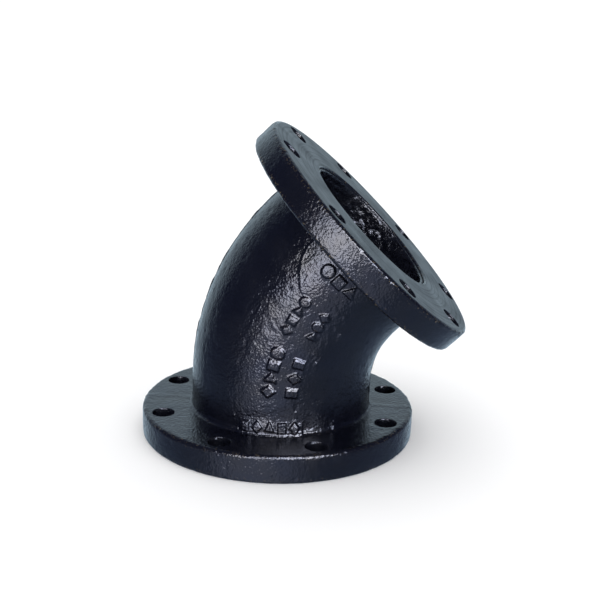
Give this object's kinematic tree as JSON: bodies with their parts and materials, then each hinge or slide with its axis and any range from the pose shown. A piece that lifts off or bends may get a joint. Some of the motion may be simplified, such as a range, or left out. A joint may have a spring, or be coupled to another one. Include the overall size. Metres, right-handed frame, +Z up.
{
  "type": "flanged pipe bend",
  "caption": "Flanged 45 degree cast-iron pipe bend with bolt holes through both flanges and a mortar-lined bore.",
  "frame": {"origin": "centre of the bounding box's bottom, on the plane of the lower joint face", "axes": "+Z up out of the lower flange, +X the way the bend turns, so the bend lies in the XZ plane"},
  "size_m": [0.3278, 0.2794, 0.3166],
  "materials": {
    "sealed_iron": "black asphaltic seal coat on rough cast iron, satin",
    "sealed_mortar": "cement mortar under a black asphaltic seal coat, pebbly and satin"
  },
  "bodies": {
    "root": {"lower_flange": "sealed_iron", "bend_barrel": "sealed_iron", "upper_flange": "sealed_iron", "mortar_lining": "sealed_mortar"}
  },
  "joints": []
}
